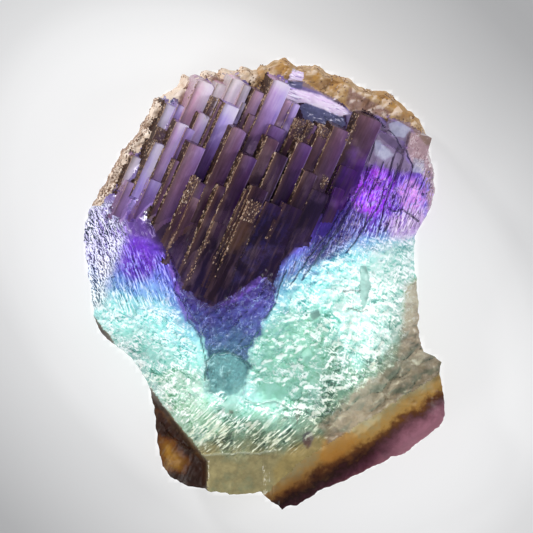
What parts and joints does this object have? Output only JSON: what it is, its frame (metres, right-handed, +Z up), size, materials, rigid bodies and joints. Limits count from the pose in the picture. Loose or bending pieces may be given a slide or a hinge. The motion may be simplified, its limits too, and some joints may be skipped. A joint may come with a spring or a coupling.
{
  "type": "fluorite specimen",
  "caption": "Broken hand piece of colour-zoned fluorite with a bundle of parallel square growth columns on its upper front, lying on a flat cleavage face.",
  "frame": {"origin": "centre of the bounding box on the plane the specimen rests on", "axes": "+Z up, out of the front that the picture shows; +Y towards the picture's upper edge, +X towards the picture's right"},
  "size_m": [0.0724, 0.0906, 0.0243],
  "materials": {
    "zoned_fluorite": "translucent vitreous crystal, zoned violet to aqua, with a dull tan crust along the upper edge"
  },
  "bodies": {
    "root": {"fluorite_specimen": "zoned_fluorite"}
  },
  "joints": []
}
